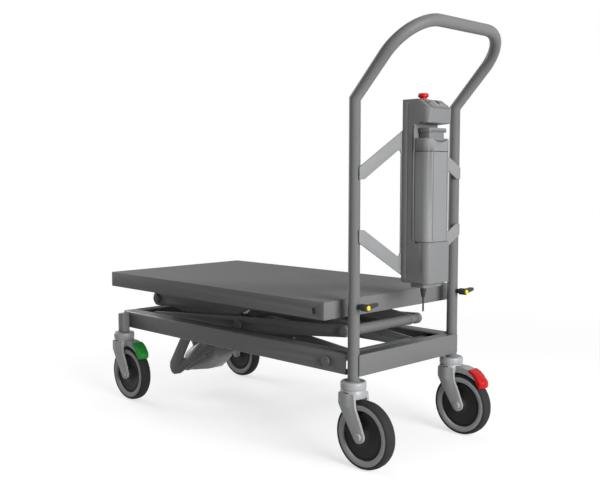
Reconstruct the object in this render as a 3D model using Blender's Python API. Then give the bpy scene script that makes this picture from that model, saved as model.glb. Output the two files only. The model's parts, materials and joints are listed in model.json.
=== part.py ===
import math

import bmesh
import bpy
from mathutils import Vector
from mathutils.geometry import tessellate_polygon

# Lifting trolley: +X is the handle end, +Z is up, floor at Z = 0. Rest pose: lowered.
GAP = 0.0003

PIVOT_X = 0.315
ARM_LENGTH = 0.785
STAGE_REST_RISE = 0.062

TABLE_LENGTH = ARM_LENGTH + 0.099
TABLE_WIDTH = 0.500
TABLE_SKIRT = 0.042
TABLE_SHEET = 0.003
TABLE_X = PIVOT_X + 0.034 - TABLE_LENGTH / 2
TABLE_BOTTOM_Z = 0.343
TABLE_RAIL_Y = 0.176
TABLE_RAIL_FLANGE = 0.026

RAIL_OUTER_Y = 0.205
RAIL_DEPTH = 0.040
RAIL_HEIGHT = 0.050
RAIL_BOTTOM_Z = 0.2125
RAIL_WALL = 0.004
FRONT_FACE_X = PIVOT_X - ARM_LENGTH - 0.069
PIVOT_Z = RAIL_BOTTOM_Z + RAIL_HEIGHT / 2
ARM_THICKNESS = 0.008
LOWER_OUTER_Y = 0.141
UPPER_OUTER_Y = 0.131
LOWER_INNER_Y = 0.121
UPPER_INNER_Y = 0.111
JOURNAL_R = 0.009
SHAFT_R = 0.013
EAR_S = ARM_LENGTH * 0.6446
EAR_N = 0.020
HANGER_PIN = (-0.022, -0.162)
HANGER_TUBE_A = (0.090, -0.024)
HANGER_TUBE_B = (ARM_LENGTH * 0.4032, -0.034)
HANGER_Y = 0.065
FRAME_ROLLER_Y = (0.170, 0.198)
TABLE_ROLLER_Y = (0.152, 0.168)
TIE_TUBE = (ARM_LENGTH * 0.3134, -0.008)
MOTOR_Y = 0.031

HANDLE_X = PIVOT_X + 0.0755
HANDLE_Y = 0.194
HANDLE_R = 0.014
HANDLE_BEND_Z = 0.847
HANDLE_TOP = (HANDLE_X + 0.1565, HANDLE_BEND_Z + 0.167)
HANDLE_CORNER_R = 0.104
RAIL_END_X = HANDLE_X - HANDLE_R - 0.0019
FRONT_POST_X = FRONT_FACE_X + 0.020
FRONT_POST_SIDE = 0.028
FRONT_POST_Y = RAIL_OUTER_Y + GAP + FRONT_POST_SIDE / 2
FRONT_POST_TOP_Z = 0.2575

WHEEL_R = 0.080
WHEEL_WIDTH = 0.032
CASTOR_TRAIL = 0.038
CASTOR_RING_R = 0.0305
CASTOR_TOP_Z = 0.201
CASTOR_SPLIT_Z = 0.183
FORK_INNER_Y = 0.0197
FORK_OUTER_Y = 0.0262
WHEEL_CLEAR_R = WHEEL_R + 0.004
PEDAL_REACH = 0.1085
PEDAL_HALF_WIDTH = 0.017

BRACKET_X = HANDLE_X + HANDLE_R + GAP
BRACKET_SHEET = 0.004
BOX_BACK_X = BRACKET_X + BRACKET_SHEET + GAP
BOX_DEPTH = 0.078
BOX_CREST = 0.046
BOX_HALF_WIDTH = 0.046
BOX_BOTTOM_Z = 0.420
BOX_TOP_Z = 0.853
SOCKET_BOTTOM_Z = BOX_BOTTOM_Z - 0.0115
CABLE_BOOT_LENGTH = 0.0585
BATTERY_BOTTOM_Z = 0.518
BATTERY_TOP_Z = 0.762
BATTERY_BACK = 0.036
CLAMP_Z = 0.375

TILT = math.asin(STAGE_REST_RISE / ARM_LENGTH)
LEFT_X = PIVOT_X - ARM_LENGTH * math.cos(TILT)
MID_X = (PIVOT_X + LEFT_X) / 2
KNUCKLE_Z = PIVOT_Z + STAGE_REST_RISE
TABLE_PIVOT_Z = PIVOT_Z + 2 * STAGE_REST_RISE
MID_LOW_Z = PIVOT_Z + STAGE_REST_RISE / 2
MID_HIGH_Z = KNUCKLE_Z + STAGE_REST_RISE / 2

for old in list(bpy.data.objects):
    bpy.data.objects.remove(old, do_unlink=True)

PAINTS = {
    "frame_grey": ((0.24, 0.24, 0.24, 1), 0.45, 0.0),
    "arm_grey": ((0.22, 0.22, 0.22, 1), 0.45, 0.0),
    "light_grey": ((0.42, 0.43, 0.43, 1), 0.4, 0.2),
    "steel": ((0.10, 0.10, 0.10, 1), 0.35, 0.6),
    "box_grey": ((0.30, 0.31, 0.31, 1), 0.5, 0.0),
    "black": ((0.03, 0.03, 0.03, 1), 0.6, 0.0),
    "red": ((0.45, 0.01, 0.01, 1), 0.4, 0.0),
    "green": ((0.03, 0.22, 0.03, 1), 0.5, 0.0),
    "yellow": ((0.75, 0.55, 0.02, 1), 0.4, 0.0),
}


def paint(obj, name, tone):
    mat = bpy.data.materials.new(name)
    mat.use_nodes = True
    shader = mat.node_tree.nodes["Principled BSDF"]
    color, rough, metal = PAINTS[tone]
    shader.inputs["Base Color"].default_value = color
    shader.inputs["Roughness"].default_value = rough
    shader.inputs["Metallic"].default_value = metal
    obj.data.materials.clear()
    obj.data.materials.append(mat)


def make(name, verts, faces):
    mesh = bpy.data.meshes.new(name)
    mesh.from_pydata([tuple(v) for v in verts], [], faces)
    bm = bmesh.new()
    bm.from_mesh(mesh)
    bmesh.ops.recalc_face_normals(bm, faces=bm.faces)
    bm.to_mesh(mesh)
    bm.free()
    obj = bpy.data.objects.new(name, mesh)
    bpy.context.scene.collection.objects.link(obj)
    return obj


def prism(name, loops, place, low, high):

    flat = [p for loop in loops for p in loop]
    tris = tessellate_polygon([[Vector((a, b, 0)) for a, b in loop] for loop in loops])
    count = len(flat)
    verts = [place(a, b, low) for a, b in flat] + [place(a, b, high) for a, b in flat]
    faces = [tuple(t) for t in tris] + [tuple(i + count for i in t) for t in tris]
    start = 0
    for loop in loops:
        size = len(loop)
        for i in range(size):
            j = (i + 1) % size
            faces.append((start + i, start + j, start + j + count, start + i + count))
        start += size
    return make(name, verts, faces)


def circle(a, b, r, steps=16):
    return [
        (a + r * math.cos(2 * math.pi * i / steps), b + r * math.sin(2 * math.pi * i / steps))
        for i in range(steps)
    ]


def arc(a, b, r, first, last, steps=8):
    angles = [math.radians(first + (last - first) * i / steps) for i in range(steps + 1)]
    return [(a + r * math.cos(t), b + r * math.sin(t)) for t in angles]


def rounded(a0, b0, a1, b1, r, steps=4):
    return (
        arc(a1 - r, b1 - r, r, 0, 90, steps)
        + arc(a0 + r, b1 - r, r, 90, 180, steps)
        + arc(a0 + r, b0 + r, r, 180, 270, steps)
        + arc(a1 - r, b0 + r, r, 270, 360, steps)
    )


def lathe(name, profile, base, axis, steps=24, closed=False):

    w = Vector(axis).normalized()
    side = Vector((0, 0, 1)) if abs(w.z) < 0.9 else Vector((1, 0, 0))
    u = w.cross(side).normalized()
    v = w.cross(u)
    verts = []
    rings = []
    for r, h in profile:
        if r < 1e-7:
            rings.append([len(verts)])
            verts.append(Vector(base) + w * h)
            continue
        ring = []
        for i in range(steps):
            t = 2 * math.pi * i / steps
            ring.append(len(verts))
            verts.append(Vector(base) + w * h + u * (r * math.cos(t)) + v * (r * math.sin(t)))
        rings.append(ring)
    pairs = list(zip(rings, rings[1:]))
    if closed:
        pairs.append((rings[-1], rings[0]))
    faces = []
    for one, two in pairs:
        for i in range(steps):
            j = (i + 1) % steps
            if len(one) == 1 and len(two) == 1:
                continue
            if len(one) == 1:
                faces.append((one[0], two[i], two[j]))
            elif len(two) == 1:
                faces.append((one[i], one[j], two[0]))
            else:
                faces.append((one[i], one[j], two[j], two[i]))
    return make(name, verts, faces)


def rod(name, r, start, end, steps=16):
    span = Vector(end) - Vector(start)
    return lathe(name, [(0, 0), (r, 0), (r, span.length), (0, span.length)], start, span, steps)


def merge(base, others, operation="UNION"):

    for other in others:
        mod = base.modifiers.new(operation.lower(), "BOOLEAN")
        mod.operation = operation
        mod.solver = "EXACT"
        mod.object = other
        depsgraph = bpy.context.evaluated_depsgraph_get()
        mesh = bpy.data.meshes.new_from_object(base.evaluated_get(depsgraph))
        base.modifiers.clear()
        base.data = mesh
        bpy.data.objects.remove(other, do_unlink=True)
    bm = bmesh.new()
    bm.from_mesh(base.data)
    bmesh.ops.remove_doubles(bm, verts=bm.verts, dist=0.000005)
    bmesh.ops.dissolve_degenerate(bm, edges=bm.edges, dist=0.000005)
    bm.to_mesh(base.data)
    bm.free()
    return base


def set_origin(obj, point):
    shift = Vector(point)
    for vert in obj.data.vertices:
        vert.co -= shift
    obj.location = shift


def xz(a, b, w):
    return (a, w, b)


def yz(a, b, w):
    return (w, a, b)


def xy(a, b, w):
    return (a, b, w)


def outer_local(base_z):

    def place(s, n):
        return (
            LEFT_X + s * math.cos(TILT) - n * math.sin(TILT),
            base_z + s * math.sin(TILT) + n * math.cos(TILT),
        )
    return place


def inner_local(base_z):

    def place(s, n):
        return (
            PIVOT_X - s * math.cos(TILT) + n * math.sin(TILT),
            base_z + s * math.sin(TILT) + n * math.cos(TILT),
        )
    return place


def plate_between(side, outer_y, thickness=ARM_THICKNESS):
    if side > 0:
        return outer_y - thickness, outer_y
    return -outer_y, -outer_y + thickness


def outer_arm(name, side, base_z, face_y, foot_hole):
    mid = ARM_LENGTH / 2
    outline = (
        arc(0, 0, 0.022, 90, 270, 6)
        + [(mid - 0.165, -0.0235), (mid - 0.145, -0.0260), (mid - 0.127, -0.0330)]
        + [(mid - 0.112, -0.0440), (mid - 0.100, -0.0500), (mid - 0.072, -0.0550)]
        + [(mid - 0.055, -0.0555), (mid - 0.020, -0.0400), (mid + 0.020, -0.0230)]
        + arc(ARM_LENGTH, 0, 0.0145, -88, 88, 6)
        + [(mid + 0.015, 0.0230)]
    )
    holes = [circle(mid, 0, JOURNAL_R + GAP), circle(ARM_LENGTH, 0, JOURNAL_R + GAP)]
    if foot_hole:
        holes.append(circle(0, 0, JOURNAL_R + GAP))
    local = outer_local(base_z)
    loops = [[local(s, n) for s, n in loop] for loop in [outline] + holes]
    low, high = plate_between(side, face_y)
    return prism(name, loops, xz, low, high)


def inner_arm(name, side, base_z, face_y, head_hole):
    mid = ARM_LENGTH / 2
    outline = (
        arc(0, 0, 0.0145, 92, 268, 6)
        + [(mid - 0.020, -0.0240), (mid + 0.100, -0.0235)]
        + arc(ARM_LENGTH, 0, 0.0150, -88, 88, 6)
        + [(EAR_S + 0.045, 0.0205), (EAR_S + 0.030, 0.0220), (EAR_S + 0.020, 0.0270)]
        + arc(EAR_S, EAR_N, 0.0180, 25, 120, 5)
        + [(EAR_S - 0.030, 0.0330), (EAR_S - 0.060, 0.0290), (mid + 0.010, 0.0240)]
        + [(mid - 0.020, 0.0230)]
    )
    holes = [circle(0, 0, JOURNAL_R + GAP), circle(mid, 0, JOURNAL_R + GAP)]
    holes.append(circle(EAR_S, EAR_N, 0.0060 if head_hole is None else 0.0083, 16))
    if head_hole:
        holes.append(circle(ARM_LENGTH, 0, JOURNAL_R + GAP))
    for s in (0.100, 0.200):
        holes.append(
            [(s - 0.008, -0.0015), (s + 0.008, -0.0015), (s + 0.008, 0.0015), (s - 0.008, 0.0015)]
        )
    local = inner_local(base_z)
    loops = [[local(s, n) for s, n in loop] for loop in [outline] + holes]
    low, high = plate_between(side, face_y)
    return prism(name, loops, xz, low, high)


def roller_axle(arm, side, x, z, root_y, tip_y):
    stub = rod("stub", 0.008, (x, side * (root_y - 0.004), z), (x, side * tip_y, z))
    return merge(arm, [stub])


def cross_shaft(name, x, z, steps_out, head_y, head_r=0.015, tone="steel"):

    half = []
    near = 0.0
    for r, far in steps_out:
        half.append((r, near))
        half.append((r, far))
        near = far
    half.append((head_r, near))
    half.append((head_r, head_y - 0.0015))
    half.append((head_r - 0.002, head_y))
    half.append((0, head_y))
    mirrored = [(r, -h) for r, h in reversed(half)]
    profile = mirrored + half[1:]
    clean = [profile[0]]
    for point in profile[1:]:
        if abs(point[0] - clean[-1][0]) > 1e-7 or abs(point[1] - clean[-1][1]) > 1e-7:
            clean.append(point)
    obj = lathe(name, clean, (x, 0, z), (0, 1, 0), 14)
    paint(obj, name, tone)
    return obj


def build_table():
    x0 = TABLE_X - TABLE_LENGTH / 2
    x1 = TABLE_X + TABLE_LENGTH / 2
    half = TABLE_WIDTH / 2
    z0 = TABLE_BOTTOM_Z
    z1 = z0 + TABLE_SKIRT
    t = TABLE_SHEET
    tray = prism("table", [rounded(x0, -half, x1, half, 0.003, 2)], xy, z0, z1)
    hollow = prism(
        "hollow", [rounded(x0 + t, -half + t, x1 - t, half - t, 0.002, 2)], xy, z0 - 0.01, z1 - t
    )
    merge(tray, [hollow], "DIFFERENCE")
    pieces = []
    roof = z1 - t + 0.001
    for part in (-0.27, -0.01, 0.25):
        x = TABLE_X + part * TABLE_LENGTH
        loop = [(x - 0.025, roof), (x - 0.018, roof - 0.010), (x + 0.018, roof - 0.010), (x + 0.025, roof)]
        pieces.append(prism("rib", [loop], xz, -0.090, 0.090))
    merge(tray, pieces)
    holes = []
    for side in (-1, 1):
        near = (PIVOT_X, side * (half - 0.015), TABLE_PIVOT_Z)
        far = (PIVOT_X, side * (half + 0.010), TABLE_PIVOT_Z)
        holes.append(rod("hole", 0.008, near, far, 16))
    merge(tray, holes, "DIFFERENCE")
    paint(tray, "table", "frame_grey")
    set_origin(tray, (PIVOT_X, 0, TABLE_PIVOT_Z))


def build_table_rails():
    x0 = TABLE_X - TABLE_LENGTH / 2 + 0.020
    x1 = TABLE_X + TABLE_LENGTH / 2 - 0.020
    z0 = TABLE_BOTTOM_Z
    roof = z0 + TABLE_SKIRT - TABLE_SHEET - GAP
    t = TABLE_SHEET
    y1 = TABLE_RAIL_Y
    y0 = y1 - TABLE_RAIL_FLANGE
    for side, name in ((-1, "table_rail_left"), (1, "table_rail_right")):
        profile = [(y0, z0), (y1, z0), (y1, roof), (y1 - t, roof), (y1 - t, z0 + t), (y0, z0 + t)]
        loop = [(side * a, b) for a, b in profile]
        rail = prism(name, [loop], yz, x0, x1)
        near = (PIVOT_X, side * (y1 - 0.010), TABLE_PIVOT_Z)
        far = (PIVOT_X, side * (y1 + 0.010), TABLE_PIVOT_Z)
        merge(rail, [rod("hole", 0.0063, near, far, 16)], "DIFFERENCE")
        paint(rail, name, "frame_grey")
        set_origin(rail, (PIVOT_X, 0, TABLE_PIVOT_Z))


def build_rails():
    z0 = RAIL_BOTTOM_Z
    z1 = z0 + RAIL_HEIGHT
    w = RAIL_WALL
    y1 = RAIL_OUTER_Y
    y0 = y1 - RAIL_DEPTH
    for side, name in ((-1, "frame_rail_left"), (1, "frame_rail_right")):
        profile = [(y0, z0), (y1 - 0.003, z0), (y1, z0 + 0.003), (y1, z1 - 0.003), (y1 - 0.003, z1)]
        profile += [(y0, z1), (y0, z1 - w), (y1 - w, z1 - w), (y1 - w, z0 + w), (y0, z0 + w)]
        loop = [(side * a, b) for a, b in profile]
        rail = prism(name, [loop], yz, FRONT_FACE_X + RAIL_WALL + GAP, RAIL_END_X)
        cut = rod("cut", 0.0063, (PIVOT_X, side * 0.19, PIVOT_Z), (PIVOT_X, side * 0.21, PIVOT_Z), 16)
        merge(rail, [cut], "DIFFERENCE")
        paint(rail, name, "frame_grey")


def build_crossbars():
    z0 = RAIL_BOTTOM_Z
    z1 = z0 + RAIL_HEIGHT
    inner = RAIL_OUTER_Y - RAIL_DEPTH - GAP
    t = RAIL_WALL
    x = FRONT_FACE_X
    web = prism("crossbar_front", [rounded(-RAIL_OUTER_Y, z0, RAIL_OUTER_Y, z1, 0.004, 2)], yz, x, x + t)
    flanges = []
    for low in (z0 + 0.001, z1 - 0.001 - t):
        loop = [(x + 0.001, low), (x + 0.029, low), (x + 0.029, low + t), (x + 0.001, low + t)]
        flanges.append(prism("flange", [loop], xz, -inner, inner))
    merge(web, flanges)
    paint(web, "crossbar_front", "frame_grey")
    x = BRACKET_X
    rear = prism("crossbar_rear", [rounded(-HANDLE_Y, z0, HANDLE_Y, z1, 0.004, 2)], yz, x, x + t)
    flanges = []
    for low in (z0 + 0.001, z1 - 0.001 - t):
        span = HANDLE_Y - HANDLE_R - GAP - 0.001
        loop = [(RAIL_END_X + GAP, low), (x + 0.003, low), (x + 0.003, low + t), (RAIL_END_X + GAP, low + t)]
        flanges.append(prism("flange", [loop], xz, -span, span))
    merge(rear, flanges)
    paint(rear, "crossbar_rear", "frame_grey")


def build_front_posts():
    h = FRONT_POST_SIDE / 2
    for side, name in ((-1, "front_post_left"), (1, "front_post_right")):
        y = side * FRONT_POST_Y
        loop = rounded(FRONT_POST_X - h, y - h, FRONT_POST_X + h, y + h, 0.007, 3)
        post = prism(name, [loop], xy, CASTOR_TOP_Z + GAP, FRONT_POST_TOP_Z)
        paint(post, name, "light_grey")


def sweep(name, path, r, steps=16):

    points = [Vector(p) for p in path]
    first = (points[1] - points[0]).normalized()
    u = first.orthogonal().normalized()
    verts = []
    rings = []
    direction = first
    v = direction.cross(u).normalized()
    offsets = []
    for i in range(steps):
        t = 2 * math.pi * i / steps
        offsets.append(u * (r * math.cos(t)) + v * (r * math.sin(t)))
    for k, point in enumerate(points):
        if 0 < k < len(points) - 1:
            after = (points[k + 1] - point).normalized()
            normal = (direction + after).normalized()
        else:
            after = direction
            normal = direction
        ring = []
        moved = []
        for offset in offsets:
            hit = offset - direction * (offset.dot(normal) / direction.dot(normal))
            ring.append(len(verts))
            verts.append(point + hit)
            flat = hit - after * hit.dot(after)
            moved.append(flat.normalized() * r)
        rings.append(ring)
        offsets = moved
        direction = after
    faces = []
    for one, two in zip(rings, rings[1:]):
        for i in range(steps):
            j = (i + 1) % steps
            faces.append((one[i], one[j], two[j], two[i]))
    faces.append(tuple(rings[0]))
    faces.append(tuple(rings[-1]))
    return make(name, verts, faces)


def build_handle():
    bend = Vector((HANDLE_X, 0, HANDLE_BEND_Z))
    top = Vector((HANDLE_TOP[0], 0, HANDLE_TOP[1]))
    slant = (top - bend).normalized()
    start = top - slant * HANDLE_CORNER_R
    path = []
    for side in (-1, 1):
        leg = [Vector((HANDLE_X, side * HANDLE_Y, CASTOR_TOP_Z + GAP))]
        leg.append(Vector((HANDLE_X, side * HANDLE_Y, HANDLE_BEND_Z)))
        for i in range(9):
            t = math.pi / 2 * i / 8
            y = side * (HANDLE_Y - HANDLE_CORNER_R * (1 - math.cos(t)))
            spot = start + slant * (HANDLE_CORNER_R * math.sin(t))
            leg.append(Vector((spot.x, y, spot.z)))
        path += leg if side < 0 else list(reversed(leg))
    handle = sweep("handle", path, HANDLE_R)
    paint(handle, "handle", "frame_grey")


def build_castors():
    places = {
        "front_left": (FRONT_POST_X, -FRONT_POST_Y),
        "front_right": (FRONT_POST_X, FRONT_POST_Y),
        "rear_left": (HANDLE_X, -HANDLE_Y),
        "rear_right": (HANDLE_X, HANDLE_Y),
    }
    for where, (x, y) in places.items():
        build_castor(where, x, y)
    build_pedal("pedal_green", FRONT_POST_X, -FRONT_POST_Y, "green")
    build_pedal("pedal_red", HANDLE_X, HANDLE_Y, "red")


def build_castor(where, x, y):
    r = CASTOR_RING_R
    top = CASTOR_TOP_Z
    split = CASTOR_SPLIT_Z
    head = lathe(
        "castor_head_" + where,
        [(0, split), (r - 0.002, split), (r, split + 0.002), (r, top - 0.004)]
        + [(r - 0.001, top - 0.001), (r - 0.004, top), (0, top)],
        (x, y, 0), (0, 0, 1), 20,
    )
    paint(head, "castor_head_" + where, "light_grey")
    axle_x = x + CASTOR_TRAIL
    fork = lathe(
        "castor_fork_" + where,
        [(0, 0.1420), (r - 0.001, 0.1420), (r, 0.144), (r, split - 0.004), (r - 0.002, split - GAP)]
        + [(0, split - GAP)],
        (x, y, 0), (0, 0, 1), 20,
    )
    legs = []
    for side in (-1, 1):
        outline = [(x - 0.0235, 0.1750), (x - 0.0240, 0.1500), (x - 0.0150, 0.1340)]
        outline += arc(axle_x, WHEEL_R, 0.0155, 215, 395, 6)
        outline += [(x + 0.0400, 0.1150), (x + 0.0270, 0.1420), (x + 0.0235, 0.1750)]
        low, high = sorted((side * (FORK_INNER_Y - 0.001), side * FORK_OUTER_Y))
        legs.append(prism("leg", [outline], xz, y + low, y + high))
    merge(fork, legs)
    span = (axle_x, y - FORK_INNER_Y, WHEEL_R), (axle_x, y + FORK_INNER_Y, WHEEL_R)
    merge(fork, [rod("clear", WHEEL_CLEAR_R, span[0], span[1], 40)], "DIFFERENCE")
    axle = lathe(
        "axle",
        [(0, -0.031), (0.008, -0.031), (0.009, -0.030), (0.009, -0.024), (0.006, -0.024)]
        + [(0.006, 0.024), (0.009, 0.024), (0.009, 0.030), (0.008, 0.031), (0, 0.031)],
        (axle_x, y, WHEEL_R), (0, 1, 0), 12,
    )
    merge(fork, [axle])
    paint(fork, "castor_fork_" + where, "light_grey")
    set_origin(fork, (x, y, 0.1635))
    w = WHEEL_WIDTH / 2
    wheel = lathe(
        "castor_wheel_" + where,
        [(0.0063, -0.0190), (0.0140, -0.0190), (0.0200, -0.0120), (0.0560, -0.0100)]
        + [(0.0620, -w), (WHEEL_R - 0.010, -w), (WHEEL_R, -0.005)]
        + [(WHEEL_R, 0.005), (WHEEL_R - 0.010, w), (0.0620, w)]
        + [(0.0560, 0.0100), (0.0200, 0.0120), (0.0140, 0.0190), (0.0063, 0.0190)],
        (axle_x, y, WHEEL_R), (0, 1, 0), 24, True,
    )
    paint(wheel, "castor_wheel_" + where, "black")
    set_origin(wheel, (axle_x, y, WHEEL_R))


def build_pedal(name, x, y, tone):
    w = PEDAL_HALF_WIDTH
    reach = PEDAL_REACH
    under = arc(x + CASTOR_TRAIL, WHEEL_R, WHEEL_CLEAR_R, 99, 41, 8)
    outline = [(x + 0.0180, 0.1805), (x + 0.0180, 0.1640)] + under
    outline += [(x + 0.1060, 0.1345), (x + reach, 0.1385), (x + reach - 0.0005, 0.1470)]
    outline += [(x + 0.0930, 0.1610), (x + 0.0700, 0.1735), (x + 0.0480, 0.1795)]
    pedal = prism(name, [outline], xz, y - w, y + w)
    plan = [(x + 0.010, y - w - 0.001)] + arc(x + reach - 0.011, y - w + 0.011, 0.011, -90, 0, 4)
    plan += arc(x + reach - 0.011, y + w - 0.011, 0.011, 0, 90, 4) + [(x + 0.010, y + w + 0.001)]
    merge(pedal, [prism("plan", [plan], xy, 0.110, 0.200)], "INTERSECT")
    cut = rod("cut", CASTOR_RING_R + 0.0005, (x, y, 0.110), (x, y, 0.200), 20)
    merge(pedal, [cut], "DIFFERENCE")
    paint(pedal, name, tone)
    set_origin(pedal, (x + 0.0340, y, 0.1710))


def build_bracket():
    x = BRACKET_X
    half = []
    half += [(0.038, 0.783), (0.1965, 0.694), (0.1965, 0.666), (0.180, 0.666)]
    half += [(0.062, 0.732), (0.053, 0.735), (0.047, 0.728), (0.047, 0.490), (0.053, 0.482), (0.062, 0.485)]
    half += [(0.180, 0.551), (0.1965, 0.551), (0.1965, 0.522), (0.036, 0.433)]
    loop = half + [(-a, b) for a, b in reversed(half)]
    plate = prism("control_bracket", [loop], yz, x, x + BRACKET_SHEET)
    paint(plate, "control_bracket", "light_grey")


def build_control_box():
    x0 = BOX_BACK_X
    x1 = x0 + BOX_DEPTH
    head_z = BOX_TOP_Z - 0.056
    side = [(x0, BOX_BOTTOM_Z), (x1, BOX_BOTTOM_Z), (x1, BATTERY_BOTTOM_Z - GAP)]
    side += [(x0 + BATTERY_BACK, BATTERY_BOTTOM_Z - GAP), (x0 + BATTERY_BACK, head_z - 0.002)]
    side += [(x1 - 0.004, head_z), (x1 + 0.003, BOX_TOP_Z - 0.024), (x0 + BOX_CREST, BOX_TOP_Z), (x0, BOX_TOP_Z)]
    w = BOX_HALF_WIDTH
    body = prism("control_box", [side], xz, -w - 0.014, w + 0.014)
    plan = [(x0 - 0.002, -w), (x0 - 0.002, w)] + [(x1 - 0.014, w)]
    plan += arc(x1 - 0.014, w - 0.018, 0.018, 90, 0, 5)
    plan += arc(x1 - 0.014, -w + 0.018, 0.018, 0, -90, 5)
    cutter = prism("plan", [plan], xy, BOX_BOTTOM_Z - 0.01, BOX_TOP_Z + 0.01)
    merge(body, [cutter], "INTERSECT")
    foot = rounded(x0 + 0.020, -w + 0.010, x0 + 0.062, w - 0.010, 0.004, 2)
    merge(body, [prism("strip", [foot], xy, SOCKET_BOTTOM_Z, BOX_BOTTOM_Z + 0.010)])
    well = rod("well", 0.0090, (x0 + 0.026, 0, BOX_TOP_Z - 0.007), (x0 + 0.026, 0, BOX_TOP_Z + 0.01), 16)
    merge(body, [well], "DIFFERENCE")
    paint(body, "control_box", "box_grey")


def build_battery():
    x0 = BOX_BACK_X + BATTERY_BACK + GAP
    x1 = BOX_BACK_X + BOX_DEPTH
    w = BOX_HALF_WIDTH - 0.001
    plan = [(x0, -w), (x0, w)] + [(x1 - 0.018, w)]
    plan += arc(x1 - 0.018, w - 0.018, 0.018, 90, 0, 5)
    plan += arc(x1 - 0.018, -w + 0.018, 0.018, 0, -90, 5)
    pack = prism("battery", [plan], xy, BATTERY_BOTTOM_Z, BATTERY_TOP_Z)
    paint(pack, "battery", "box_grey")
    grip = prism(
        "battery_latch", [rounded(x0, -0.030, x1 - 0.010, 0.030, 0.005, 2)], xy,
        BATTERY_TOP_Z + GAP, BATTERY_TOP_Z + 0.020,
    )
    lip = prism(
        "lip", [rounded(x0 + 0.002, -0.034, x1 - 0.006, 0.034, 0.005, 2)], xy,
        BATTERY_TOP_Z + 0.014, BATTERY_TOP_Z + 0.024,
    )
    merge(grip, [lip])
    paint(grip, "battery_latch", "box_grey")


def build_controls():
    x0 = BOX_BACK_X
    foot = Vector((x0 + BOX_DEPTH + 0.003, 0, BOX_TOP_Z - 0.024))
    crest = Vector((x0 + BOX_CREST, 0, BOX_TOP_Z))
    run = (crest - foot).normalized()
    normal = Vector((-run.z, 0, run.x)) * -1
    if normal.z < 0:
        normal = -normal

    def on_slope(a, b, w):
        return foot + run * (0.006 + b) + Vector((0, a, 0)) + normal * (GAP + w)

    panel = prism("keypad_panel", [rounded(-0.030, 0.0, 0.030, 0.030, 0.003, 2)], on_slope, 0, 0.0015)
    paint(panel, "keypad_panel", "light_grey")
    z = BOX_TOP_Z + GAP
    button = lathe(
        "emergency_stop",
        [(0, 0), (0.0085, 0), (0.0085, 0.005), (0.0125, 0.006), (0.0130, 0.012), (0.0105, 0.0155), (0, 0.0160)],
        (x0 + 0.026, 0, z), (0, 0, 1), 18,
    )
    paint(button, "emergency_stop", "red")
    set_origin(button, (x0 + 0.026, 0, z))
    boot = lathe(
        "cable_boot",
        [(0, 0), (0.0022, 0), (0.0022, 0.033), (0.0040, 0.034), (0.0075, 0.052)]
        + [(0.0075, CABLE_BOOT_LENGTH), (0, CABLE_BOOT_LENGTH)],
        (x0 + 0.042, -0.012, SOCKET_BOTTOM_Z - GAP - CABLE_BOOT_LENGTH), (0, 0, 1), 12,
    )
    paint(boot, "cable_boot", "box_grey")


def build_clamps():
    x = HANDLE_X + HANDLE_R + GAP
    for side, where in ((-1, "left"), (1, "right")):
        y = side * HANDLE_Y
        lever = lathe(
            "clamp_lever_" + where,
            [(0, 0), (0.006, 0), (0.006, 0.008), (0.0085, 0.010), (0.0085, 0.028), (0, 0.028)],
            (x, y, CLAMP_Z), (1, 0, 0), 14,
        )
        grip = [(y - 0.006, CLAMP_Z - 0.007), (y + 0.020, CLAMP_Z - 0.0055), (y + 0.044, CLAMP_Z - 0.001)]
        grip += [(y + 0.046, CLAMP_Z + 0.003), (y + 0.043, CLAMP_Z + 0.007), (y + 0.018, CLAMP_Z + 0.0055)]
        grip += [(y - 0.006, CLAMP_Z + 0.007)]
        merge(lever, [prism("grip", [grip], yz, x + 0.012, x + 0.022)])
        well = rod("well", 0.0062, (x + 0.0248, y, CLAMP_Z), (x + 0.03, y, CLAMP_Z), 14)
        merge(lever, [well], "DIFFERENCE")
        paint(lever, "clamp_lever_" + where, "black")
        set_origin(lever, (x, y, CLAMP_Z))
        cap = lathe(
            "clamp_button_" + where,
            [(0, 0), (0.0058, 0), (0.0058, 0.003), (0.0045, 0.004), (0, 0.004)],
            (x + 0.028 + GAP, y, CLAMP_Z), (1, 0, 0), 14,
        )
        paint(cap, "clamp_button_" + where, "yellow")
        set_origin(cap, (x + 0.028 + GAP, y, CLAMP_Z))


def build_arms():
    for side, where in ((-1, "left"), (1, "right")):
        arm = outer_arm("lower_outer_arm_" + where, side, PIVOT_Z, LOWER_OUTER_Y, False)
        roller_axle(arm, side, LEFT_X, PIVOT_Z, LOWER_OUTER_Y, FRAME_ROLLER_Y[1] + 0.001)
        paint(arm, arm.name, "arm_grey")
        set_origin(arm, (MID_X, 0, MID_LOW_Z))
        arm = outer_arm("upper_outer_arm_" + where, side, KNUCKLE_Z, UPPER_OUTER_Y, True)
        paint(arm, arm.name, "arm_grey")
        set_origin(arm, (LEFT_X, 0, KNUCKLE_Z))
        arm = inner_arm("lower_inner_arm_" + where, side, PIVOT_Z, LOWER_INNER_Y, True)
        paint(arm, arm.name, "arm_grey")
        set_origin(arm, (PIVOT_X, 0, PIVOT_Z))
        arm = inner_arm("upper_inner_arm_" + where, side, KNUCKLE_Z, UPPER_INNER_Y, None)
        roller_axle(arm, side, LEFT_X, TABLE_PIVOT_Z, UPPER_INNER_Y, TABLE_ROLLER_Y[1] + 0.0005)
        paint(arm, arm.name, "arm_grey")
        set_origin(arm, (MID_X, 0, MID_HIGH_Z))


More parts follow.
